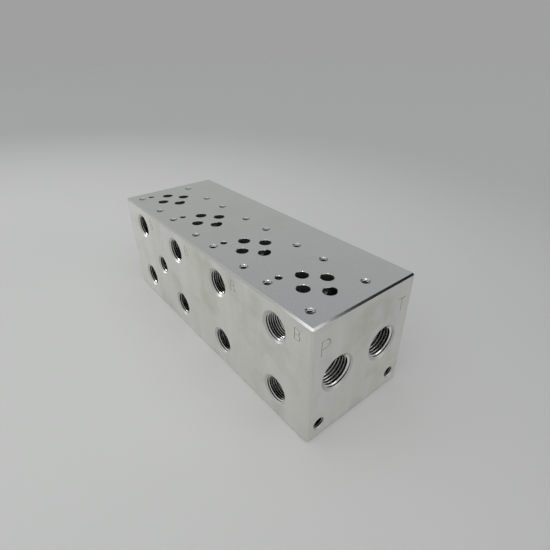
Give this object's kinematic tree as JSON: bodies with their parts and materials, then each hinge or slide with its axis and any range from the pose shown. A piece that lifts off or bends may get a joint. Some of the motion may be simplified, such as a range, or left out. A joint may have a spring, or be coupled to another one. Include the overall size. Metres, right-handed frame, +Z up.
{
  "type": "hydraulic manifold block",
  "caption": "Drilled aluminium bar manifold that carries directional valves side by side on top, with threaded ports on one side and both ends.",
  "frame": {"origin": "middle of the bottom face", "axes": "+X along the bar towards the end whose ports show, +Z up to the valve faces; the work ports face -Y"},
  "size_m": [0.217, 0.077, 0.078],
  "materials": {
    "milled_aluminium": "milled and lightly tumbled, dull with faint cutter marks"
  },
  "bodies": {
    "root": {"manifold_block": "milled_aluminium"}
  },
  "joints": []
}
